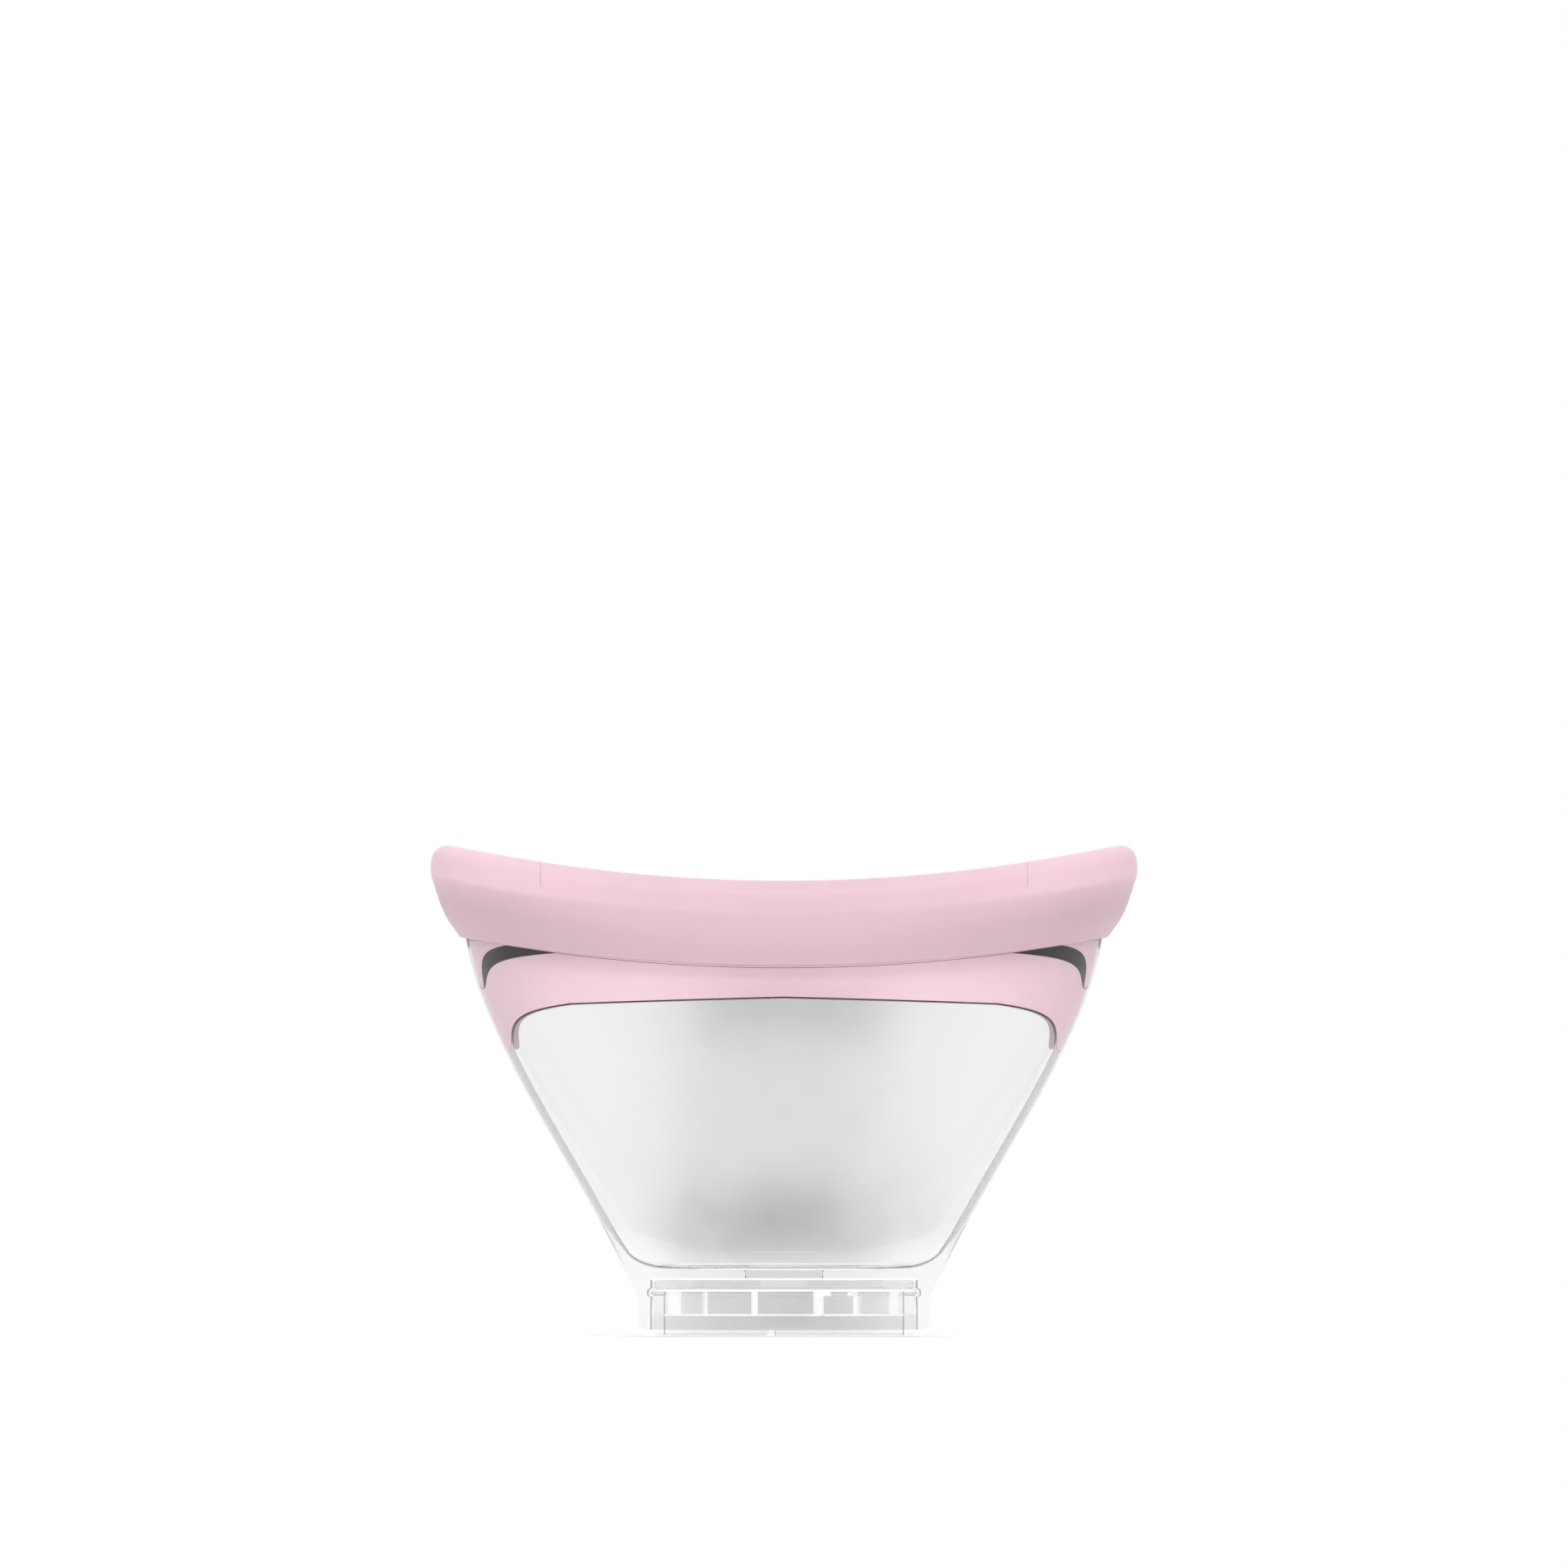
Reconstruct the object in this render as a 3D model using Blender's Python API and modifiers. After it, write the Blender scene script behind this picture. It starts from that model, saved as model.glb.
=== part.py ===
"""Silicone-rimmed cupping cup: a clear moulded cup, a soft rim, a bayonet connector ring and a face seal."""

import math

import bmesh
import bpy

MM = 0.001

# Overall shape of the mouth: an oval made of four arcs that meet tangentially.
RIM_HALF_LENGTH = 55.0
RIM_HALF_WIDTH = 36.0
RIM_END_RADIUS = 30.0
ARC_STEPS = 14

# Saddle curves, taken from the middle of the cup: height plus x squared over twice the radius.
SKIRT_LOW = 57.45
SKIRT_RADIUS = 279.0
TOP_LOW = 70.56
TOP_RADIUS = 240.0

# Clear cup.
WALL = 1.6
WALL_FOOT_Z = 6.3
WALL_FOOT_RADIUS = 23.1
RIM_OVERHANG = 5.4
FOOT_SLOPE = 0.42
MOUTH_SLOPE = 0.17
LIP_HEIGHT = 8.7
FLOOR_TOP = 10.4
FLOOR_UNDER = 8.9
PORT_RADIUS = 6.0
BORE_RADIUS = 20.6
SNAP_GROOVE_RADIUS = 21.1

# Silicone rim.
FIT_GAP = 0.3
LINING = 1.6
LINING_EDGE = 0.6
LINING_Z = 52.4
TONGUE_DROP = 8.0
TONGUE_SPREAD = 2.0
RIM_HEIGHT = 13.1

# Bayonet connector ring.
RING_OUTER = 20.3
RING_INNER = 18.5
RING_TOP = 7.1
LUG_COUNT = 3
LUG_WIDTH = 9.8
LUG_TIP_RADIUS = 17.1
LUG_LOW = 3.0
STOP_WIDTH = 1.1
STOP_TIP_RADIUS = 16.5
NOTCH_WIDTH = 1.2
NOTCH_DEPTH = 0.7

# Seal that the pump coupling presses on.
SEAL_OUTER = 20.2
SEAL_INNER = 15.0
SEAL_LOW = 7.4
SEAL_TOP = 8.6

SIDE_RADIUS = ((RIM_HALF_LENGTH - RIM_END_RADIUS) ** 2 + RIM_HALF_WIDTH ** 2 - RIM_END_RADIUS ** 2) / (
    2.0 * (RIM_HALF_WIDTH - RIM_END_RADIUS)
)
END_CENTRE = RIM_HALF_LENGTH - RIM_END_RADIUS
SIDE_CENTRE = SIDE_RADIUS - RIM_HALF_WIDTH
END_ANGLE = math.acos(END_CENTRE / (SIDE_RADIUS - RIM_END_RADIUS))


def clear_file():
    """Start from an empty file."""
    for obj in list(bpy.data.objects):
        bpy.data.objects.remove(obj, do_unlink=True)


def new_collection(name):
    """A collection linked to the scene."""
    coll = bpy.data.collections.new(name)
    bpy.context.scene.collection.children.link(coll)
    return coll


def material(name, colour, roughness, transmission, ior):
    """A plain Principled material."""
    mat = bpy.data.materials.new(name)
    mat.use_nodes = True
    shader = mat.node_tree.nodes["Principled BSDF"]
    shader.inputs["Base Color"].default_value = (colour[0], colour[1], colour[2], 1.0)
    shader.inputs["Roughness"].default_value = roughness
    shader.inputs["Transmission Weight"].default_value = transmission
    shader.inputs["IOR"].default_value = ior
    mat.diffuse_color = (colour[0], colour[1], colour[2], 1.0)
    return mat


def mesh_object(name, coll, verts, faces, mat):
    """A mesh object from points in millimetres, with its faces turned outward."""
    mesh = bpy.data.meshes.new(name)
    mesh.from_pydata([(x * MM, y * MM, z * MM) for x, y, z in verts], [], faces)
    tidy = bmesh.new()
    tidy.from_mesh(mesh)
    bmesh.ops.recalc_face_normals(tidy, faces=tidy.faces)
    tidy.to_mesh(mesh)
    tidy.free()
    obj = bpy.data.objects.new(name, mesh)
    coll.objects.link(obj)
    if mat is not None:
        mesh.materials.append(mat)
    return obj


def stations():
    """Direction and arc number of every point round the oval: end, side, end, side."""
    found = []
    for arc in range(4):
        middle = arc * math.pi / 2.0
        half = END_ANGLE if arc % 2 == 0 else math.pi / 2.0 - END_ANGLE
        for step in range(ARC_STEPS):
            found.append((middle - half + 2.0 * half * step / ARC_STEPS, arc))
    return found


STATIONS = stations()


def plan_point(angle, arc, blend, offset):
    """Point in plan: blend 0 is the round foot, blend 1 the oval mouth, offset runs outward."""
    centre = [(END_CENTRE, 0.0), (0.0, -SIDE_CENTRE), (-END_CENTRE, 0.0), (0.0, SIDE_CENTRE)][arc]
    arc_radius = (RIM_END_RADIUS if arc % 2 == 0 else SIDE_RADIUS) - RIM_OVERHANG
    radius = WALL_FOOT_RADIUS * (1.0 - blend) + blend * arc_radius + offset
    x = blend * centre[0] + radius * math.cos(angle)
    y = blend * centre[1] + radius * math.sin(angle)
    return x, y


def skirt_height(x):
    """Height of the rim's lower edge."""
    return SKIRT_LOW + x * x / (2.0 * SKIRT_RADIUS)


def top_height(x):
    """Height of the rim's upper edge."""
    return TOP_LOW + x * x / (2.0 * TOP_RADIUS)


def flare(share):
    """How far the wall has opened from foot to mouth, for a share of its height."""
    share = min(max(share, 0.0), 1.0)
    rise = SKIRT_LOW - WALL_FOOT_Z + 4.5
    spread = RIM_HALF_LENGTH - RIM_OVERHANG - WALL_FOOT_RADIUS
    start = FOOT_SLOPE * rise / spread
    end = MOUTH_SLOPE * rise / spread
    cube = share ** 3
    square = share ** 2
    return (cube - 2 * square + share) * start + (3 * square - 2 * cube) + (cube - square) * end


def mouth_height(angle, arc):
    """Height of the rim's lower edge above this station."""
    return skirt_height(plan_point(angle, arc, 1.0, 0.0)[0])


def wall_ring(height_of, offset):
    """Ring on the flared wall; height_of gives the height for a station."""
    ring = []
    for angle, arc in STATIONS:
        z = height_of(angle, arc)
        share = (z - WALL_FOOT_Z) / (mouth_height(angle, arc) - WALL_FOOT_Z)
        x, y = plan_point(angle, arc, flare(share), offset)
        ring.append((x, y, z))
    return ring


def share_ring(share, offset):
    """Ring on the wall at a share of the height between foot and mouth."""

    def height_of(angle, arc):
        return WALL_FOOT_Z + share * (mouth_height(angle, arc) - WALL_FOOT_Z)

    return wall_ring(height_of, offset)


def level_ring(z, offset):
    """Level ring on the wall."""
    return wall_ring(lambda angle, arc: z, offset)


def mouth_ring(rise, offset):
    """Ring straight above the mouth of the cup, following the saddle."""
    ring = []
    for angle, arc in STATIONS:
        x, y = plan_point(angle, arc, 1.0, offset)
        ring.append((x, y, mouth_height(angle, arc) + rise))
    return ring


def round_ring(radius, z):
    """Level circle."""
    return [(radius * math.cos(angle), radius * math.sin(angle), z) for angle, arc in STATIONS]


def loft(name, coll, rings, mat):
    """Closed body through a loop of rings that all have the same number of points."""
    count = len(rings[0])
    verts = [point for ring in rings for point in ring]
    faces = []
    for row in range(len(rings)):
        after = (row + 1) % len(rings)
        for i in range(count):
            j = (i + 1) % count
            faces.append((row * count + i, row * count + j, after * count + j, after * count + i))
    return mesh_object(name, coll, verts, faces, mat)


def revolve(name, coll, profile, mat):
    """Body of revolution about Z from a closed profile of (radius, z)."""
    count = len(profile)
    mesh = bpy.data.meshes.new(name)
    edges = [(i, (i + 1) % count) for i in range(count)]
    mesh.from_pydata([(r * MM, 0.0, z * MM) for r, z in profile], edges, [])
    obj = bpy.data.objects.new(name, mesh)
    coll.objects.link(obj)
    if mat is not None:
        mesh.materials.append(mat)
    screw = obj.modifiers.new("revolve", "SCREW")
    screw.axis = "Z"
    screw.angle = 2.0 * math.pi
    screw.steps = 4 * ARC_STEPS
    screw.render_steps = 4 * ARC_STEPS
    screw.use_merge_vertices = True
    screw.merge_threshold = 0.00001
    screw.use_smooth_shade = False
    return obj


def block(name, coll, low, high, turn):
    """Box between two corners, turned about Z."""
    verts = []
    for x in (low[0], high[0]):
        for y in (low[1], high[1]):
            for z in (low[2], high[2]):
                px = x * math.cos(turn) - y * math.sin(turn)
                py = x * math.sin(turn) + y * math.cos(turn)
                verts.append((px, py, z))
    faces = [(0, 1, 3, 2), (4, 6, 7, 5), (0, 4, 5, 1), (2, 3, 7, 6), (0, 2, 6, 4), (1, 5, 7, 3)]
    obj = mesh_object(name, coll, verts, faces, None)
    obj.hide_render = True
    obj.display_type = "WIRE"
    return obj


def combine(obj, other, operation):
    """Exact boolean."""
    step = obj.modifiers.new(operation.lower() + "_" + other.name, "BOOLEAN")
    step.operation = operation
    step.solver = "EXACT"
    step.object = other
    return step


def cup_shell(coll, mat):
    """Clear cup: round collar at the foot, flared wall, oval lip, floor with an air port."""
    rings = [round_ring(BORE_RADIUS, 1.1), round_ring(BORE_RADIUS + 0.3, 0.8)]
    rings += [round_ring(22.0, 0.8), round_ring(22.4, 1.1), round_ring(22.6, 1.9)]
    rings += [round_ring(22.8, 4.2), round_ring(22.9, 5.3)]
    rings += [share_ring(k / 13.0, 0.0) for k in range(14)]
    rings += [mouth_ring(LIP_HEIGHT - 0.6, 0.0), mouth_ring(LIP_HEIGHT, -0.6)]
    rings += [mouth_ring(LIP_HEIGHT, 0.6 - WALL), mouth_ring(LIP_HEIGHT - 0.6, -WALL)]
    rings += [share_ring(k / 13.0, -WALL) for k in range(13, 1, -1)]
    rings += [level_ring(12.2, -WALL - 0.3), level_ring(11.2, -WALL - 1.1)]
    rings += [level_ring(10.6, -WALL - 2.2), round_ring(19.4, FLOOR_TOP)]
    rings += [round_ring(PORT_RADIUS + 0.3, FLOOR_TOP), round_ring(PORT_RADIUS, FLOOR_TOP - 0.3)]
    rings += [round_ring(PORT_RADIUS, FLOOR_UNDER), round_ring(BORE_RADIUS, FLOOR_UNDER)]
    rings += [round_ring(BORE_RADIUS, 7.4), round_ring(SNAP_GROOVE_RADIUS, 7.1)]
    rings += [round_ring(SNAP_GROOVE_RADIUS, 6.2), round_ring(BORE_RADIUS, 5.9)]
    return loft("cup_shell", coll, rings, mat)


# Outer section of the rim: distance outward from the cup wall, height above the lower edge.
OUTER_SECTION = [
    (0.8, 0.15), (1.4, 0.95), (2.5, 2.25), (3.4, 3.6), (4.3, 5.3), (4.95, 7.2), (5.3, 8.6),
    (5.4, 9.7), (5.2, 10.9), (4.7, 11.9), (3.8, 12.65), (2.7, 13.02), (1.4, 13.1),
]
# Inner section of the rim, from the top down to the level of the lower edge.
INNER_SECTION = [
    (-0.6, 13.1), (-2.2, 12.95), (-3.5, 12.5), (-4.5, 11.6), (-5.0, 10.4), (-5.1, 9.0), (-4.5, 6.5),
    (-3.9, 3.2),
]


def rim_ring(offset, height):
    """Ring of the rim; the height is stretched so that the top follows its own saddle curve."""
    ring = []
    for angle, arc in STATIONS:
        low = mouth_height(angle, arc)
        x, y = plan_point(angle, arc, 1.0, offset)
        stretch = (top_height(x) - low) / RIM_HEIGHT
        ring.append((x, y, low + height * stretch))
    return ring


def tongue_edge(angle):
    """Height of the lining's lower edge: level at the sides, dropping to a tongue at each end."""
    spread = (math.tan(angle) ** 4 + (TONGUE_SPREAD / TONGUE_DROP) ** 4) ** 0.25
    return LINING_Z - TONGUE_SPREAD / spread


def lining_ring(share, rise, offset):
    """Ring of the lining that lies against the inside of the cup wall."""

    def height_of(angle, arc):
        low = tongue_edge(angle)
        return mouth_height(angle, arc) * (1.0 - share) + (low + rise) * share

    return wall_ring(height_of, offset)


def silicone_rim(coll, mat):
    """Soft rim: rounded outer bead over the lip, channel for the lip, lining inside the wall."""
    outer = -WALL - FIT_GAP
    taper = (LINING - LINING_EDGE) / 4.0
    rings = [rim_ring(u, w) for u, w in OUTER_SECTION]
    rings += [rim_ring(u, w) for u, w in INNER_SECTION]
    rings += [lining_ring(k / 4.0, 0.25, outer - LINING + k * taper) for k in range(5)]
    rings += [lining_ring(1.0, 0.0, outer - LINING_EDGE + 0.2), lining_ring(1.0, 0.0, outer - 0.2)]
    rings += [lining_ring(k / 4.0, 0.25, outer) for k in range(4, -1, -1)]
    rings += [mouth_ring(LIP_HEIGHT + FIT_GAP - 0.5, outer), mouth_ring(LIP_HEIGHT + FIT_GAP, outer + 0.5)]
    rings += [mouth_ring(LIP_HEIGHT + FIT_GAP, FIT_GAP - 0.5)]
    rings += [mouth_ring(LIP_HEIGHT + FIT_GAP - 0.5, FIT_GAP), mouth_ring(0.15, FIT_GAP)]
    rings += [mouth_ring(0.0, FIT_GAP + 0.25)]
    return loft("silicone_rim", coll, rings, mat)


def connector_ring(coll, cutters, mat):
    """Bayonet ring: snap bead outside, three lugs with stops inside, one index notch."""
    profile = [
        (RING_OUTER, RING_TOP - 0.15), (RING_OUTER + 0.5, RING_TOP - 0.45), (RING_OUTER + 0.5, 6.4),
        (RING_OUTER, 6.1), (RING_OUTER, 0.3), (RING_OUTER - 0.3, 0.0), (RING_INNER + 0.3, 0.0),
        (RING_INNER, 0.3), (RING_INNER, RING_TOP), (RING_OUTER - 0.2, RING_TOP),
    ]
    ring = revolve("connector_ring", coll, profile, mat)
    half = LUG_WIDTH / 2.0
    buried = (RING_INNER + RING_OUTER) / 2.0
    for k in range(LUG_COUNT):
        turn = -math.pi / 2.0 + k * 2.0 * math.pi / LUG_COUNT
        low = (LUG_TIP_RADIUS, -half, LUG_LOW)
        combine(ring, block(f"lug_{k}", cutters, low, (buried, half, 6.9), turn), "UNION")
        low = (STOP_TIP_RADIUS, half - 0.1, LUG_LOW)
        high = (buried, half + STOP_WIDTH, 6.9)
        combine(ring, block(f"stop_{k}", cutters, low, high, turn), "UNION")
    notch = block("notch", cutters, (17.0, -2.6, -1.0), (22.0, -2.6 + NOTCH_WIDTH, NOTCH_DEPTH), -math.pi / 2.0)
    combine(ring, notch, "DIFFERENCE")
    return ring


def sealing_gasket(coll, mat):
    """Flat silicone face seal under the cup floor."""
    profile = [
        (SEAL_OUTER, SEAL_TOP - 0.2), (SEAL_OUTER, SEAL_LOW + 0.2), (SEAL_OUTER - 0.2, SEAL_LOW),
        (SEAL_INNER + 0.4, SEAL_LOW), (SEAL_INNER, SEAL_LOW + 0.4), (SEAL_INNER, SEAL_TOP - 0.4),
        (SEAL_INNER + 0.4, SEAL_TOP), (SEAL_OUTER - 0.2, SEAL_TOP),
    ]
    return revolve("sealing_gasket", coll, profile, mat)


def main():
    clear_file()
    coll = new_collection("cupping_cup")
    cutters = new_collection("cutters")
    clear = material("clear_plastic", (0.93, 0.95, 0.96), 0.05, 0.9, 1.49)
    frosted = material("clear_ring", (0.9, 0.92, 0.94), 0.15, 0.8, 1.49)
    pink = material("pink_silicone", (0.80, 0.55, 0.61), 0.5, 0.0, 1.41)
    seal = material("seal_silicone", (0.85, 0.86, 0.87), 0.45, 0.3, 1.41)
    cup_shell(coll, clear)
    silicone_rim(coll, pink)
    connector_ring(coll, cutters, frosted)
    sealing_gasket(coll, seal)


main()
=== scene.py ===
"""Looks of the silicone-rimmed cupping cup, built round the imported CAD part.

Shape values are in millimetres. Heights start at the surface that the cup stands on.
"""

import math

import bpy
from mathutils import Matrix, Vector


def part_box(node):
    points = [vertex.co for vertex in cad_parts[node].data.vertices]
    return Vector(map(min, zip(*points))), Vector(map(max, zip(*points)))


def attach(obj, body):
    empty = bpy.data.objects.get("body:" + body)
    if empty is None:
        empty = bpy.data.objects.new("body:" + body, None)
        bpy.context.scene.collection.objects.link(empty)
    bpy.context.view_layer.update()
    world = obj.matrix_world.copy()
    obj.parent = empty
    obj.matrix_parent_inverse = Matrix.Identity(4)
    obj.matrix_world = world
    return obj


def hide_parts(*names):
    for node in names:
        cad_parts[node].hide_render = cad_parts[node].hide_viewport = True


MM = 0.001
TURN = 2.0 * math.pi

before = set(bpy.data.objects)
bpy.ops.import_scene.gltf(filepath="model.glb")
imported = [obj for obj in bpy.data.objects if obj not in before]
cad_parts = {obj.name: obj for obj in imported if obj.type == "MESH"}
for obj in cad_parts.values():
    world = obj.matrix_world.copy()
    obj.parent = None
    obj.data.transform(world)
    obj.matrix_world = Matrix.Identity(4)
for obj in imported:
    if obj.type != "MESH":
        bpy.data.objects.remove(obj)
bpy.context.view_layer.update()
RIM_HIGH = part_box("silicone_rim")[1]
CUP_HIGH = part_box("cup_shell")[1]

# The oval of the mouth, from the CAD part's own boxes: two end arcs and two side arcs.
L = RIM_HIGH.x / MM
W = RIM_HIGH.y / MM
OVER = (RIM_HIGH.x - CUP_HIGH.x) / MM
R_END = 30.0
R_SIDE = ((L - R_END) ** 2 + W ** 2 - R_END ** 2) / (2.0 * (W - R_END))
C_END = L - R_END
C_SIDE = R_SIDE - W
ALPHA = math.acos(C_END / (R_SIDE - R_END))
ARC_CENTRES = ((C_END, 0.0), (0.0, -C_SIDE), (-C_END, 0.0), (0.0, C_SIDE))
STATIONS_PER_ARC = 44

# Foot and wall of the clear body.
FOOT_Z, FOOT_R, WALL = 6.3, 23.1, 1.6
FOOT_BEVEL_X, FOOT_BEVEL_Z = 21.6, 1.8
WALL_ROWS, FLOOR_ROW = 60, 10
FLARE_START, FLARE_END, FLARE_LIFT = 0.42, 0.17, 4.5

# Saddle curves: height in the middle and radius of the curve along the oval.
SKIRT_LOW, SKIRT_R = 57.45, 279.0
TOP_LOW, TOP_R = 70.56, 240.0

# Lip of the body, floor, port and socket.
LIP, LIP_ROUND = 8.7, 0.6
BORE, FLOOR_TOP, FLOOR_UNDER, PORT = 20.6, 10.4, 8.9, 6.0
FLOOR_PAN, FLOOR_STEP, CORNER_HIGH, CORNER_WIDE = 17.2, 0.3, 3.0, 4.2
SNAP_GROOVE = 21.1

# Lining of the rim, measured from the wall's outer face, and its free edge.
LINING_OUT, LINING_IN, LINING_EDGE = -1.58, -3.5, 0.6
LINING_ROUND = 0.25
LINING_ROWS, UNDER_ROWS, UPPER_ROWS = 20, 12, 10
GROOVE_GAP = 0.3

# Section of the rim's bead: distance out from the wall, and height above the skirt (middle of the oval).
BEAD_HEIGHT = 13.1
SECTION = [
    (0.36, 0.10), (0.52, 0.0), (0.78, 0.06), (1.10, 0.42), (1.75, 1.22), (2.55, 2.25), (3.22, 3.30),
    (3.95, 4.75), (4.52, 6.20), (4.98, 7.50), (5.26, 8.10), (5.39, 8.80), (5.40, 9.80), (5.28, 10.75),
    (4.90, 11.65), (4.25, 12.36), (3.40, 12.82), (2.40, 13.04), (1.00, 13.10), (-0.60, 13.10),
    (-2.0, 12.98), (-3.3, 12.55), (-4.3, 11.75), (-4.9, 10.6), (-5.05, 9.2), (-4.6, 6.6),
    (-3.95, 3.2), (-3.54, 0.6),
]

# Bayonet ring: bore, outer wall, snap bead, and the reach of lugs and stops towards the axis.
RING_IN, RING_OUT, RING_BEAD = 18.5, 20.3, 20.8
LUG_TIP, STOP_TIP, LUG_HALF_WIDTH = 17.15, 16.55, 4.9
STOP_WIDTH, HOOK_WIDTH, POST_WIDTH, LUG_MIDDLE = 1.1, 2.2, 0.6, 17.5
NOTCH_FROM, NOTCH_TO, NOTCH_RADIUS, NOTCH_DEPTH = 2.6, 1.4, 19.4, 0.7
RING_COLUMNS, SHARP, OVERLAP = 192, 0.0012, 0.003

# Looks.
SEAM_X, SEAM_HALF, SEAM_Z = 37.8, 0.16, 69.0
END_SPAN = 1600.0
CLEAR_FOOT, CLEAR_WALL = (0.963,) * 3, (0.935,) * 3
# Grey of the painted reflections in the clear plastic, at the foot and up the wall.
REFLECTION_GREY_FOOT, REFLECTION_GREY_WALL = (0.70, 0.70, 0.705), (0.67, 0.675, 0.683)
IOR_FOOT, IOR_RISE, IOR_MEAN = 1.012, 0.033, 1.04
SILICONE_IOR = 1.41

# Framing: the cup's width and its distance below the middle, as shares of the frame; camera distance in
# metres.
CUP_SHARE, SINK_SHARE = 0.45053, 0.19526
CAMERA_FAR = 8.0


# ---------------------------------------------------------------- shape helpers
def stations():
    """Angle and arc number of each column round the oval."""
    found = []
    for arc in range(4):
        middle = arc * math.pi / 2.0
        half = ALPHA if arc % 2 == 0 else math.pi / 2.0 - ALPHA
        for step in range(STATIONS_PER_ARC):
            found.append((middle - half + 2.0 * half * step / STATIONS_PER_ARC, arc))
    return found


STATIONS = stations()


def plan(angle, arc, blend, off):
    """Point in plan: blend 0 is the round foot, blend 1 the oval mouth."""
    centre = ARC_CENTRES[arc]
    arc_radius = (R_END if arc % 2 == 0 else R_SIDE) - OVER
    radius = FOOT_R * (1.0 - blend) + blend * arc_radius + off
    return blend * centre[0] + radius * math.cos(angle), blend * centre[1] + radius * math.sin(angle)


def flare(share):
    """How far the wall has opened at a share of its height: a Hermite curve."""
    s = min(max(share, 0.0), 1.0)
    slope = (SKIRT_LOW - FOOT_Z + FLARE_LIFT) / (L - OVER - FOOT_R)
    start, end = FLARE_START * slope, FLARE_END * slope
    return (s ** 3 - 2 * s ** 2 + s) * start + (3 * s ** 2 - 2 * s ** 3) + (s ** 3 - s ** 2) * end


def mouth_z(angle, arc):
    x = plan(angle, arc, 1.0, 0.0)[0]
    return SKIRT_LOW + x * x / (2.0 * SKIRT_R)


def on_wall(z_of, off):
    """Ring that follows the wall at the heights of z_of, at an offset from the outer face."""
    ring = []
    for angle, arc in STATIONS:
        z = z_of(angle, arc)
        share = (z - FOOT_Z) / (mouth_z(angle, arc) - FOOT_Z)
        x, y = plan(angle, arc, flare(share), off)
        ring.append((x, y, z))
    return ring


def share_row(share, off):
    return on_wall(lambda angle, arc: FOOT_Z + share * (mouth_z(angle, arc) - FOOT_Z), off)


def level_row(z, off):
    return on_wall(lambda angle, arc: z, off)


def mouth_row(rise, off):
    ring = []
    for angle, arc in STATIONS:
        x, y = plan(angle, arc, 1.0, off)
        ring.append((x, y, mouth_z(angle, arc) + rise))
    return ring


def circle_row(radius, z):
    return [(radius * math.cos(angle), radius * math.sin(angle), z) for angle, arc in STATIONS]


def catmull_rom(p0, p1, p2, p3, t):
    return 0.5 * (
        2 * p1 + (p2 - p0) * t
        + (2 * p0 - 5 * p1 + 4 * p2 - p3) * t * t
        + (3 * p1 - p0 - 3 * p2 + p3) * t ** 3
    )


def spline(points, steps):
    """Catmull-Rom curve through the points."""
    out = []
    last = len(points) - 1
    for i in range(last):
        around = points[max(i - 1, 0)], points[i], points[i + 1], points[min(i + 2, last)]
        for k in range(steps):
            out.append(tuple(catmull_rom(*values, k / steps) for values in zip(*around)))
    out.append(points[-1])
    return out


def fillet(centre_x, centre_z, radius, start, end, steps):
    """Arc in a section plane, degrees."""
    out = []
    for k in range(steps + 1):
        t = math.radians(start + (end - start) * k / steps)
        out.append((centre_x + radius * math.cos(t), centre_z + radius * math.sin(t)))
    return out


def loft(name, rows, mats, slot_of=None, smooth=True):
    """Closed body through a loop of rows; slot_of gives a material number for a gap's row and column."""
    columns = len(rows[0])
    verts = [(x * MM, y * MM, z * MM) for row in rows for x, y, z in row]
    faces = []
    slots = []
    for r in range(len(rows)):
        after = (r + 1) % len(rows)
        for i in range(columns):
            j = (i + 1) % columns
            faces.append((r * columns + i, r * columns + j, after * columns + j, after * columns + i))
            slots.append(slot_of(r, i) if slot_of else 0)
    mesh = bpy.data.meshes.new(name)
    mesh.from_pydata(verts, [], faces)
    mesh.update()
    for mat in mats:
        mesh.materials.append(mat)
    mesh.polygons.foreach_set("material_index", slots)
    mesh.polygons.foreach_set("use_smooth", [smooth] * len(faces))
    if sum(p.center.dot(p.normal) * p.area for p in mesh.polygons) < 0:
        mesh.flip_normals()
    obj = bpy.data.objects.new(name, mesh)
    bpy.context.scene.collection.objects.link(obj)
    return obj


# ---------------------------------------------------------------- node helpers
def new_material(name):
    mat = bpy.data.materials.new(name)
    mat.use_nodes = True
    tree = mat.node_tree
    return mat, tree, tree.nodes["Principled BSDF"]


def node(tree, kind, **values):
    made = tree.nodes.new(kind)
    for key, value in values.items():
        setattr(made, key, value)
    return made


def math_node(tree, op, *values, clamp=False):
    """Math node; each value is a number or another node's output."""
    made = node(tree, "ShaderNodeMath", operation=op, use_clamp=clamp)
    for k, value in enumerate(values):
        if isinstance(value, (int, float)):
            made.inputs[k].default_value = value
        else:
            tree.links.new(value, made.inputs[k])
    return made.outputs[0]


def position(tree):
    """Object-space point in millimetres, and its x and z."""
    coords = node(tree, "ShaderNodeTexCoord")
    scale = node(tree, "ShaderNodeVectorMath", operation="SCALE")
    scale.inputs["Scale"].default_value = 1.0 / MM
    tree.links.new(coords.outputs["Object"], scale.inputs[0])
    parts = node(tree, "ShaderNodeSeparateXYZ")
    tree.links.new(scale.outputs[0], parts.inputs[0])
    return scale.outputs[0], parts.outputs[0], parts.outputs[2]


def noise(tree, vector, scale, detail=3.0, rough=0.5):
    made = node(tree, "ShaderNodeTexNoise")
    made.inputs["Scale"].default_value = scale
    made.inputs["Detail"].default_value = detail
    made.inputs["Roughness"].default_value = rough
    tree.links.new(vector, made.inputs["Vector"])
    return made.outputs[0]


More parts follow.
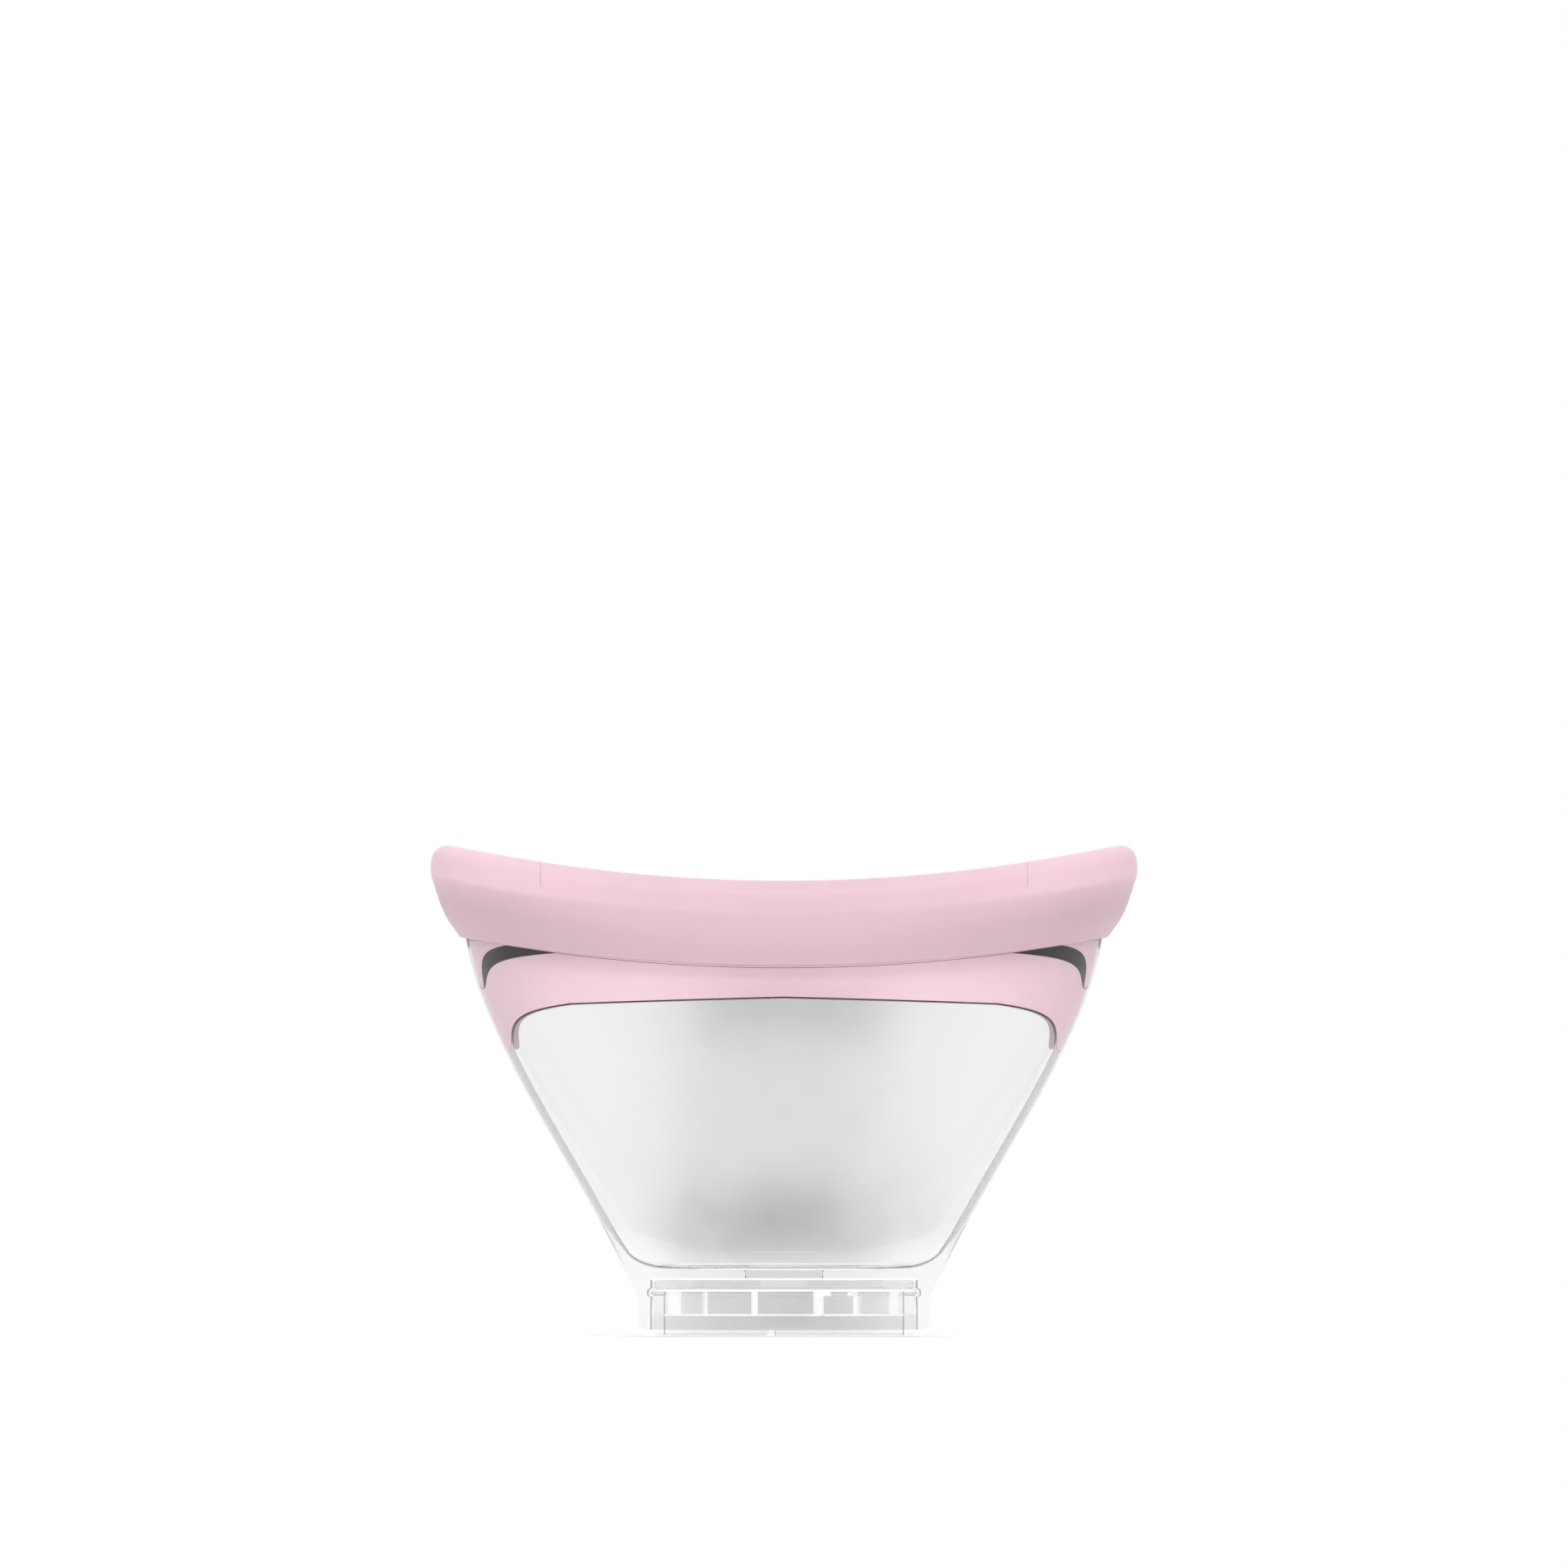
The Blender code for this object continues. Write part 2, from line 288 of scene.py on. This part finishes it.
def mix_colour(tree, factor, first, second):
    made = node(tree, "ShaderNodeMix", data_type="RGBA")
    tree.links.new(factor, made.inputs[0])
    for key, value in ((6, first), (7, second)):
        if hasattr(value, "is_output"):
            tree.links.new(value, made.inputs[key])
        else:
            made.inputs[key].default_value = (*value, 1.0)
    return made.outputs[2]


def scaled(tree, colour, gain):
    """Colour times a grey gain."""
    made = node(tree, "ShaderNodeMix", data_type="RGBA", blend_type="MULTIPLY")
    made.inputs[0].default_value = 1.0
    tree.links.new(colour, made.inputs[6])
    tree.links.new(gain, made.inputs[7])
    return made.outputs[2]


def bump(tree, height, strength, distance):
    made = node(tree, "ShaderNodeBump")
    made.inputs["Strength"].default_value = strength
    made.inputs["Distance"].default_value = distance
    tree.links.new(height, made.inputs["Height"])
    return made.outputs[0]


def smooth_step(tree, value, low, high):
    made = node(tree, "ShaderNodeMapRange", interpolation_type="SMOOTHSTEP")
    made.inputs["From Min"].default_value = low
    made.inputs["From Max"].default_value = high
    tree.links.new(value, made.inputs["Value"])
    return made.outputs[0]


def bell(tree, value, middle, width, power=2.0):
    """Smooth hump of height 1 round a middle value; a higher power gives a flatter top."""
    off = math_node(tree, "DIVIDE", math_node(tree, "SUBTRACT", value, middle), width)
    off = math_node(tree, "POWER", math_node(tree, "ABSOLUTE", off), power)
    return math_node(tree, "EXPONENT", math_node(tree, "MULTIPLY", off, -1.0))


def saddle_z(tree, square, low, radius):
    """Height of a saddle curve, from the square of x."""
    return math_node(tree, "MULTIPLY_ADD", square, 1.0 / (2.0 * radius), low)


def end_share(tree, square):
    """0 in the middle of the oval, about 1.2 at its ends."""
    return math_node(tree, "MINIMUM", math_node(tree, "MULTIPLY", square, 1.0 / END_SPAN), 1.2)


# ---------------------------------------------------------------- materials
def seam_mask(tree, x, z):
    """Short mould parting lines on top of the bead."""
    off = math_node(tree, "ABSOLUTE", math_node(tree, "SUBTRACT", math_node(tree, "ABSOLUTE", x), SEAM_X))
    line = math_node(tree, "SUBTRACT", 1.0, math_node(tree, "DIVIDE", off, SEAM_HALF), clamp=True)
    high = math_node(tree, "MULTIPLY", math_node(tree, "SUBTRACT", z, SEAM_Z), 0.7, clamp=True)
    return math_node(tree, "MULTIPLY", line, high, clamp=True)


def bead_painted_shade(tree, x, z):
    """Painted shade: darker below the crease of the bead and lighter above it, both most at the ends of the
    oval.
    """
    square = math_node(tree, "MULTIPLY", x, x)
    end = end_share(tree, square)
    depth = math_node(tree, "SUBTRACT", saddle_z(tree, square, TOP_LOW, TOP_R), z)
    crease = math_node(tree, "MULTIPLY", smooth_step(tree, depth, 4.7, 6.2), 0.6)
    below = math_node(tree, "MULTIPLY_ADD", smooth_step(tree, depth, 5.6, 9.8), 0.4, crease)
    upper = math_node(tree, "MULTIPLY_ADD", end, 0.10, 1.01)
    lower = math_node(tree, "MULTIPLY_ADD", end, -0.11, 0.95)
    return math_node(tree, "MULTIPLY_ADD", below, math_node(tree, "SUBTRACT", lower, upper), upper)


def silicone_material():
    """Matt moulded silicone: faint mottling, a fine satin grain, short mould parting lines, and painted shade
    about the bead's crease.
    """
    mat, tree, shader = new_material("pink_silicone")
    vec, x, z = position(tree)
    mottle = noise(tree, vec, 0.09, 4.0, 0.55)
    grain = noise(tree, vec, 5.0, 3.0, 0.6)
    seam = seam_mask(tree, x, z)
    base = mix_colour(tree, mottle, (0.765, 0.535, 0.600), (0.815, 0.580, 0.650))
    base = mix_colour(tree, math_node(tree, "MULTIPLY", seam, 0.45), base, (0.42, 0.25, 0.30))
    # Painted shade and light: the bead colour is darkened below the crease and lightened above it.
    tree.links.new(scaled(tree, base, bead_painted_shade(tree, x, z)), shader.inputs["Base Color"])
    tree.links.new(math_node(tree, "MULTIPLY_ADD", grain, 0.12, 0.46), shader.inputs["Roughness"])
    height = math_node(tree, "SUBTRACT", grain, math_node(tree, "MULTIPLY", seam, 2.0))
    tree.links.new(bump(tree, height, 0.12, 0.0001), shader.inputs["Normal"])
    shader.inputs["IOR"].default_value = SILICONE_IOR
    shader.inputs["Subsurface Weight"].default_value = 0.12
    shader.inputs["Subsurface Radius"].default_value = (1.0, 0.55, 0.6)
    shader.inputs["Subsurface Scale"].default_value = 0.003
    return mat


def lining_painted_light_material():
    """The same silicone where it lies against the wall, painted lighter than the bead; a painted glow under
    the skirt stands in for light through its thin middle.
    """
    mat, tree, shader = new_material("silicone_lining_painted_light")
    vec, x, z = position(tree)
    square = math_node(tree, "MULTIPLY", x, x)
    end = end_share(tree, square)
    mottle = noise(tree, vec, 0.12, 4.0, 0.55)
    # Painted light: a lighter copy of the bead's pink, seen through the wall.
    base = mix_colour(tree, mottle, (0.93, 0.665, 0.730), (0.97, 0.70, 0.77))
    # Painted shade: darker towards the ends of the oval.
    gain = math_node(tree, "MULTIPLY_ADD", end, -0.12, 1.0)
    tree.links.new(scaled(tree, base, gain), shader.inputs["Base Color"])
    # Painted glow: emission just under the skirt, fading over 4.2 mm and towards the ends.
    depth = math_node(tree, "SUBTRACT", saddle_z(tree, square, SKIRT_LOW, SKIRT_R), z)
    under = math_node(tree, "SUBTRACT", 1.0, math_node(tree, "DIVIDE", depth, 4.2), clamp=True)
    middle = math_node(tree, "SUBTRACT", 1.0, end, clamp=True)
    painted_glow = math_node(tree, "MULTIPLY", under, middle, clamp=True)
    shader.inputs["Emission Color"].default_value = (0.93, 0.64, 0.70, 1.0)
    tree.links.new(math_node(tree, "MULTIPLY", painted_glow, 0.24), shader.inputs["Emission Strength"])
    grain = noise(tree, vec, 4.0, 2.0, 0.5)
    tree.links.new(math_node(tree, "MULTIPLY_ADD", grain, 0.1, 0.5), shader.inputs["Roughness"])
    shader.inputs["IOR"].default_value = SILICONE_IOR
    return mat


def painted_shadow_material():
    """Painted shadow: near-black faces on the lining's flat outer face and its lower edge, standing in for a
    dark undercut where no light reaches.
    """
    mat, tree, shader = new_material("silicone_painted_shadow")
    vec = position(tree)[0]
    mottle = noise(tree, vec, 0.3, 3.0, 0.5)
    base = mix_colour(tree, mottle, (0.018, 0.013, 0.014), (0.035, 0.026, 0.028))
    tree.links.new(base, shader.inputs["Base Color"])
    shader.inputs["Roughness"].default_value = 0.6
    return mat


def painted_reflection_amount(tree, vec, x, z):
    """Strength of the painted grey reflections in the clear plastic: most in the middle, at the floor and
    below the lining.
    """
    wobble = math_node(tree, "SUBTRACT", noise(tree, vec, 0.05, 3.0, 0.55), 0.5)
    across = bell(tree, math_node(tree, "MULTIPLY_ADD", wobble, 17.0, x), 0.0, 18.0, 3.2)
    patches = math_node(tree, "MULTIPLY_ADD", noise(tree, vec, 0.08, 2.0, 0.5), 0.8, 0.58)
    amount = math_node(tree, "MULTIPLY_ADD", bell(tree, z, 17.0, 7.5), 0.55, 0.34)
    amount = math_node(tree, "MULTIPLY_ADD", bell(tree, z, 52.0, 7.0), 0.38, amount)
    amount = math_node(tree, "MULTIPLY", amount, patches)
    return math_node(tree, "MULTIPLY", amount, across, clamp=True)


def polish(shader):
    """Glass-smooth moulded face."""
    shader.inputs["Transmission Weight"].default_value = 1.0
    shader.inputs["Roughness"].default_value = 0.0
    shader.inputs["Coat Weight"].default_value = 0.35
    shader.inputs["Coat Roughness"].default_value = 0.03
    shader.inputs["Coat IOR"].default_value = 1.5


def body_material():
    """Clear wall with painted grey reflections in the middle; the thick foot bends light less, so the
    connector stays readable.
    """
    mat, tree, shader = new_material("clear_plastic")
    vec, x, z = position(tree)
    rise = smooth_step(tree, z, 11.0, 19.0)
    clear = mix_colour(tree, rise, CLEAR_FOOT, CLEAR_WALL)
    reflection_grey = mix_colour(tree, rise, REFLECTION_GREY_FOOT, REFLECTION_GREY_WALL)
    base = mix_colour(tree, painted_reflection_amount(tree, vec, x, z), clear, reflection_grey)
    facing = node(tree, "ShaderNodeLayerWeight")
    facing.inputs["Blend"].default_value = 0.5
    edge_on = smooth_step(tree, facing.outputs["Facing"], 0.5, 0.78)
    gain = math_node(tree, "MULTIPLY_ADD", math_node(tree, "MULTIPLY", edge_on, rise), -0.07, 1.0)
    tree.links.new(scaled(tree, base, gain), shader.inputs["Base Color"])
    polish(shader)
    shader.inputs["IOR"].default_value = IOR_MEAN
    tree.links.new(math_node(tree, "MULTIPLY_ADD", rise, IOR_RISE, IOR_FOOT), shader.inputs["IOR"])
    return mat


def ring_material():
    """Clear insert with the same painted grey reflections in the middle."""
    mat, tree, shader = new_material("clear_ring")
    vec, x, z = position(tree)
    base = mix_colour(tree, painted_reflection_amount(tree, vec, x, z), CLEAR_FOOT, REFLECTION_GREY_FOOT)
    tree.links.new(base, shader.inputs["Base Color"])
    polish(shader)
    shader.inputs["IOR"].default_value = IOR_FOOT
    return mat


def painted_highlight_material():
    """Painted highlight: moulded corners of the clear plastic drawn in glowing white, as if catching the
    light.
    """
    mat, tree, shader = new_material("plastic_painted_highlight")
    vec = position(tree)[0]
    base = mix_colour(tree, noise(tree, vec, 0.4, 2.0, 0.5), (0.93, 0.93, 0.935), (0.98, 0.98, 0.98))
    tree.links.new(base, shader.inputs["Base Color"])
    shader.inputs["Roughness"].default_value = 0.35
    shader.inputs["Transmission Weight"].default_value = 0.35
    shader.inputs["IOR"].default_value = 1.1
    shader.inputs["Emission Color"].default_value = (1.0, 1.0, 1.0, 1.0)
    shader.inputs["Emission Strength"].default_value = 0.4
    return mat


def seal_material():
    """Translucent silicone of the face seal."""
    mat, tree, shader = new_material("seal_silicone")
    vec = position(tree)[0]
    base = mix_colour(tree, noise(tree, vec, 0.3, 3.0, 0.5), (0.96, 0.965, 0.97), (0.985, 0.99, 0.99))
    tree.links.new(base, shader.inputs["Base Color"])
    shader.inputs["Roughness"].default_value = 0.15
    shader.inputs["Transmission Weight"].default_value = 0.96
    shader.inputs["IOR"].default_value = 1.03
    return mat


def floor_material():
    mat, tree, shader = new_material("pale_floor")
    shader.inputs["Base Color"].default_value = (0.8, 0.8, 0.8, 1.0)
    shader.inputs["Roughness"].default_value = 0.9
    shader.inputs["Emission Color"].default_value = (1.0, 1.0, 1.0, 1.0)
    shader.inputs["Emission Strength"].default_value = 0.3
    return mat


# ---------------------------------------------------------------- clear body
def foot_rows():
    """Rounded bottom edge and the short bevel of the foot."""
    rows = [circle_row(BORE, 1.05), circle_row(BORE + 0.08, 0.87), circle_row(BORE + 0.25, 0.8)]
    rows += [circle_row(r, z) for r, z in fillet(FOOT_BEVEL_X, FOOT_BEVEL_Z, 1.0, -90.0, -8.0, 6)]
    rows += [circle_row(22.72, 3.0), circle_row(22.8, 4.2), circle_row(22.92, 5.3)]
    return rows


def bowl_corner_rows():
    """Quarter ellipse from the wall to the floor of the bowl."""
    rows = []
    for k in range(1, 9):
        t = math.radians(90.0 * k / 8.0)
        z = FLOOR_TOP + CORNER_HIGH * (1.0 - math.sin(t))
        rows.append(level_row(z, -WALL - 0.25 - CORNER_WIDE * (1.0 - math.cos(t))))
    return rows


def floor_rows():
    """Shallow pan round the air port, the port's rounded edge, and the underside."""
    pan = FLOOR_TOP - FLOOR_STEP
    rows = [circle_row(FLOOR_PAN, FLOOR_TOP), circle_row(FLOOR_PAN - 0.1, FLOOR_TOP - 0.12)]
    rows += [circle_row(FLOOR_PAN - 0.2, pan), circle_row(12.0, pan), circle_row(PORT + 1.0, pan)]
    rows += [circle_row(PORT + 0.3, pan), circle_row(PORT + 0.09, pan - 0.09), circle_row(PORT, pan - 0.3)]
    rows += [circle_row(r, FLOOR_UNDER) for r in (PORT, PORT + 0.05, 12.0)]
    return rows


def socket_rows():
    """Chamfered top corner of the socket and the groove of the snap bead."""
    rows = [circle_row(BORE - 0.25, FLOOR_UNDER), circle_row(BORE, FLOOR_UNDER - 0.25), circle_row(BORE, 7.4)]
    rows += [circle_row(SNAP_GROOVE, 7.1), circle_row(SNAP_GROOVE, 6.2)]
    rows += [circle_row(BORE, 5.9), circle_row(BORE, 3.0)]
    return rows


def build_shell():
    rows = foot_rows()
    rows += [share_row(k / WALL_ROWS, 0.0) for k in range(WALL_ROWS + 1)]
    rows += [mouth_row(LIP * k / 5.0 - LIP_ROUND, 0.0) for k in range(1, 5)]
    lip_top = len(rows) + 5
    rise = LIP - LIP_ROUND
    rows += [mouth_row(rise + dz, dr - LIP_ROUND) for dr, dz in fillet(0, 0, LIP_ROUND, 0, 90, 5)]
    rows += [mouth_row(rise + dz, LIP_ROUND - WALL + dr) for dr, dz in fillet(0, 0, LIP_ROUND, 90, 180, 5)]
    rows += [mouth_row(LIP * k / 5.0 - LIP_ROUND, -WALL) for k in range(4, 0, -1)]
    rows += [share_row(k / WALL_ROWS, -WALL) for k in range(WALL_ROWS, FLOOR_ROW - 1, -1)]
    rows += bowl_corner_rows()
    pan = len(rows)
    rows += floor_rows()
    corner = len(rows)
    rows += socket_rows()
    # Rows drawn with the painted highlight: the edges of the floor's pan, the socket's top corner and the
    # lip's top.
    highlight_rows = (pan, pan + 1, corner, lip_top)
    mats = [body_material(), painted_highlight_material()]
    return loft("cup_body", rows, mats, lambda row, column: 1 if row in highlight_rows else 0)


# ---------------------------------------------------------------- silicone rim
def drop(angle, size, most):
    """How far an edge sinks towards the ends of the oval."""
    return size / (math.tan(angle) ** 4 + (size / most) ** 4) ** 0.25


def low_edge(angle, arc):
    return 52.4 - drop(angle, 2.0, 8.0)


# Lower and upper edges of the painted shadow band on the lining's flat outer face.
def shadow_band_low(angle, arc):
    return min(60.0 - drop(angle, 1.2, 5.9), mouth_z(angle, arc) - 0.42)


def shadow_band_high(angle, arc):
    return min(61.8 - drop(angle, 0.9, 7.6), mouth_z(angle, arc) - 0.35)


def raised(height, rise):
    """The height function, lifted."""
    return lambda angle, arc: height(angle, arc) + rise


def between(first, second, share):
    """Height function part of the way from the first to the second."""
    return lambda angle, arc: first(angle, arc) * (1 - share) + second(angle, arc) * share


def bead_row(out, rise):
    ring = []
    for angle, arc in STATIONS:
        low = mouth_z(angle, arc)
        x, y = plan(angle, arc, 1.0, out)
        top = TOP_LOW + x * x / (2.0 * TOP_R)
        ring.append((x, y, low + rise * (top - low) / BEAD_HEIGHT))
    return ring


def lining_inside_rows():
    """Free face of the lining, from the bead down to its rounded lower edge."""
    inner = LINING_OUT - LINING_EDGE
    rows = []
    for k in range(LINING_ROWS + 1):
        share = k / LINING_ROWS
        off = LINING_IN + share * (inner - LINING_IN)
        rows.append(on_wall(between(mouth_z, raised(low_edge, LINING_ROUND), share), off))
    for k in range(1, 7):
        t = math.radians(15.0 * k)
        lift = LINING_ROUND * (1.0 - math.sin(t))
        rows.append(on_wall(raised(low_edge, lift), inner + LINING_ROUND * (1.0 - math.cos(t))))
    return rows


def groove_rows():
    """Groove that takes the body's lip."""
    top = LIP + GROOVE_GAP
    rows = [mouth_row(0.3, -WALL - GROOVE_GAP), mouth_row(top - 0.5, -WALL - GROOVE_GAP)]
    rows += [mouth_row(top, -WALL + 0.2), mouth_row(top, -0.2), mouth_row(top - 0.5, GROOVE_GAP)]
    rows += [mouth_row(4.0, GROOVE_GAP), mouth_row(0.3, GROOVE_GAP)]
    return rows


def build_rim():
    rows = [bead_row(out, rise) for out, rise in spline(SECTION, 4)]
    rows += lining_inside_rows()
    lining_start = len(rows) - 1
    rows.append(on_wall(low_edge, LINING_OUT - 0.22))
    edge = len(rows)
    rows.append(on_wall(raised(low_edge, 0.05), LINING_OUT - 0.08))
    rows.append(on_wall(raised(low_edge, 0.22), LINING_OUT))
    for k in range(1, UNDER_ROWS):
        rows.append(on_wall(between(raised(low_edge, 0.22), shadow_band_low, k / UNDER_ROWS), LINING_OUT))
    rows.append(on_wall(shadow_band_low, LINING_OUT))
    shadow_band_start = len(rows)
    rows += [on_wall(between(shadow_band_low, shadow_band_high, share), LINING_OUT) for share in (0.33, 0.67)]
    done = len(rows)
    for k in range(UPPER_ROWS + 1):
        rows.append(on_wall(between(shadow_band_high, raised(mouth_z, -0.1), k / UPPER_ROWS), LINING_OUT))
    groove = len(rows)
    rows += groove_rows()

    def slot(row, column):
        # Material 2 is the painted shadow, material 1 the lining's painted-light silicone.
        if edge - 1 <= row <= edge or shadow_band_start - 1 <= row < done:
            return 2
        return 1 if lining_start < row <= groove else 0

    return loft("soft_rim", rows, [silicone_material(), lining_painted_light_material(), painted_shadow_material()], slot)


# ---------------------------------------------------------------- connector
def within(angle, spans):
    return any((angle - start) % TURN < (end - start) % TURN for start, end in spans)


def ring_spans():
    """Angles of the three lugs, the stops and hooks at one side, the posts at the other, and the notch."""
    half = math.asin(LUG_HALF_WIDTH / 18.0)
    spans = {"lugs": [], "stops": [], "hooks": [], "posts": []}
    for k in range(3):
        middle = -math.pi / 2.0 + k * TURN / 3.0
        start, end = middle - half, middle + half
        spans["lugs"].append((start, end))
        spans["stops"].append((end - OVERLAP, end + STOP_WIDTH / LUG_MIDDLE))
        spans["hooks"].append((end - OVERLAP, end + HOOK_WIDTH / LUG_MIDDLE))
        spans["posts"].append((start - OVERLAP, start + POST_WIDTH / LUG_MIDDLE))
    front = -math.pi / 2.0
    spans["notch"] = [(front - NOTCH_FROM / NOTCH_RADIUS, front - NOTCH_TO / NOTCH_RADIUS)]
    return spans


def ring_angles(spans):
    """Even columns round the ring, with a close pair at each end of a lug, stop, post or notch."""
    found = {round(TURN * k / RING_COLUMNS, 9) for k in range(RING_COLUMNS)}
    for group in spans.values():
        for span in group:
            for end in span:
                found.add(round((end - SHARP) % TURN, 9))
                found.add(round((end + SHARP) % TURN, 9))
    return sorted(found)


def build_ring():
    """Bayonet ring with three lugs, each with a hooked stop at one side, and the index notch."""
    spans = ring_spans()
    angles = ring_angles(spans)

    def row(radius_of, z_of):
        return [(radius_of(t) * math.cos(t), radius_of(t) * math.sin(t), z_of(t)) for t in angles]

    def flat(value):
        return lambda t: value

    def circle(radius, z):
        return row(flat(radius), flat(z))

    def foot(radius, z):
        return row(flat(radius), lambda t: max(z, NOTCH_DEPTH) if within(t, spans["notch"]) else z)

    def tip(t, stop_name):
        if within(t, spans[stop_name]):
            return STOP_TIP
        return LUG_TIP if within(t, spans["lugs"]) else RING_IN

    def lug(stop_name, inset, z):
        return row(lambda t: min(tip(t, stop_name) + inset, RING_IN), flat(z))

    rows = [circle(20.05, 7.1), circle(RING_OUT, 6.85), circle(20.72, 6.72), circle(RING_BEAD, 6.55)]
    rows += [circle(20.72, 6.38), circle(RING_OUT, 6.1)]
    rows += [foot(RING_OUT, 0.3), foot(RING_OUT - 0.09, 0.09), foot(RING_OUT - 0.3, 0.0)]
    rows += [foot(RING_IN + 0.3, 0.0), foot(RING_IN + 0.09, 0.09), foot(RING_IN, 0.3)]
    rows.append(circle(RING_IN, 2.95))
    lug_low = len(rows)
    rows += [lug("stops", 0.18, 3.0), lug("stops", 0.0, 3.2), lug("stops", 0.0, 6.15)]
    hook_low = len(rows)
    rows += [lug("hooks", 0.0, 6.2), lug("hooks", 0.0, 6.7), lug("hooks", 0.18, 6.9)]
    rows += [circle(RING_IN, 6.95), circle(RING_IN + 0.1, 7.1)]
    highlight_rows = (0, lug_low, hook_low + 1)

    def slot(row_number, column):
        # Material 1 is the painted highlight: a few edge rows and the side faces at the posts, stops and
        # hooks.
        if row_number in highlight_rows:
            return 1
        stop_name = "hooks" if row_number >= hook_low - 1 else "stops"
        marked = within(angles[column], spans["posts"] + spans[stop_name])
        return 1 if lug_low <= row_number <= hook_low + 2 and marked else 0

    return loft("bayonet_ring", rows, [ring_material(), painted_highlight_material()], slot, smooth=False)


def build_seal():
    outer = fillet(19.9, 7.7, 0.3, -90, 0, 4) + fillet(19.9, 8.3, 0.3, 0, 90, 4)
    inner = fillet(15.4, 8.2, 0.4, 90, 180, 5) + fillet(15.4, 7.8, 0.4, 180, 270, 5)
    return loft("face_seal", [circle_row(r, z) for r, z in outer + inner], [seal_material()])


# ---------------------------------------------------------------- studio
def build_stage():
    """Floor just under the foot."""
    half, low = 1.0, -0.0003
    mesh = bpy.data.meshes.new("floor")
    corners = [(-half, -half, low), (half, -half, low), (half, half, low), (-half, half, low)]
    mesh.from_pydata(corners, [], [(0, 1, 2, 3)])
    mesh.materials.append(floor_material())
    floor = bpy.data.objects.new("floor", mesh)
    bpy.context.scene.collection.objects.link(floor)


def build_world():
    """Soft white studio, darker in front of the cup; the backdrop itself is white."""
    world = bpy.data.worlds.new("studio")
    bpy.context.scene.world = world
    world.use_nodes = True
    tree = world.node_tree
    back = tree.nodes["Background"]
    coords = node(tree, "ShaderNodeTexCoord")
    parts = node(tree, "ShaderNodeSeparateXYZ")
    tree.links.new(coords.outputs["Generated"], parts.inputs[0])
    ramp = node(tree, "ShaderNodeMapRange", interpolation_type="SMOOTHSTEP")
    for key, value in (("From Min", -0.95), ("From Max", 0.15), ("To Min", 0.32), ("To Max", 1.0)):
        ramp.inputs[key].default_value = value
    tree.links.new(parts.outputs[1], ramp.inputs["Value"])
    side = math_node(tree, "MULTIPLY", parts.outputs[0], parts.outputs[0])
    side = math_node(tree, "MULTIPLY_ADD", side, -0.5, 1.0)
    light = math_node(tree, "MULTIPLY", ramp.outputs[0], side)
    path = node(tree, "ShaderNodeLightPath")
    through = math_node(tree, "MULTIPLY", path.outputs["Is Transmission Ray"], 0.9)
    light = math_node(tree, "MAXIMUM", light, through)
    light = math_node(tree, "MAXIMUM", light, path.outputs["Is Camera Ray"])
    tree.links.new(light, back.inputs["Strength"])
    back.inputs["Color"].default_value = (1.0, 1.0, 1.0, 1.0)


def build_light():
    """One large soft light, high in front."""
    data = bpy.data.lights.new("overhead", "AREA")
    data.shape = "RECTANGLE"
    data.size = 2.0
    data.size_y = 1.4
    data.energy = 54.0
    place, target = Vector((0.0, -2.2, 2.5)), Vector((0.0, 0.0, 0.05))
    obj = bpy.data.objects.new("overhead", data)
    obj.location = place
    obj.rotation_euler = (target - place).to_track_quat("-Z", "Y").to_euler()
    bpy.context.scene.collection.objects.link(obj)


def build_camera():
    """Level front view from far away; the cup sits in the lower half of the frame."""
    data = bpy.data.cameras.new("camera")
    obj = bpy.data.objects.new("camera", data)
    bpy.context.scene.collection.objects.link(obj)
    data.sensor_width = 36.0
    data.lens = data.sensor_width * CAMERA_FAR * CUP_SHARE / (2.0 * L * MM)
    data.shift_y = SINK_SHARE
    data.clip_end = 60.0
    obj.location = (0.0, -CAMERA_FAR, RIM_HIGH.z / 2.0)
    obj.rotation_euler = (math.pi / 2.0, 0.0, 0.0)
    scene = bpy.context.scene
    scene.camera = obj
    scene.view_settings.view_transform = "Standard"
    scene.cycles.max_bounces = 32
    scene.cycles.transmission_bounces = 32
    scene.cycles.glossy_bounces = 12


def main():
    for obj, body, part in (
        (build_shell(), "cup", "cup_shell"),
        (build_rim(), "rim", "silicone_rim"),
        (build_ring(), "cup", "connector_ring"),
        (build_seal(), "cup", "sealing_gasket"),
    ):
        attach(obj, body)
        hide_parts(part)
    build_stage()
    build_world()
    build_light()
    build_camera()


main()
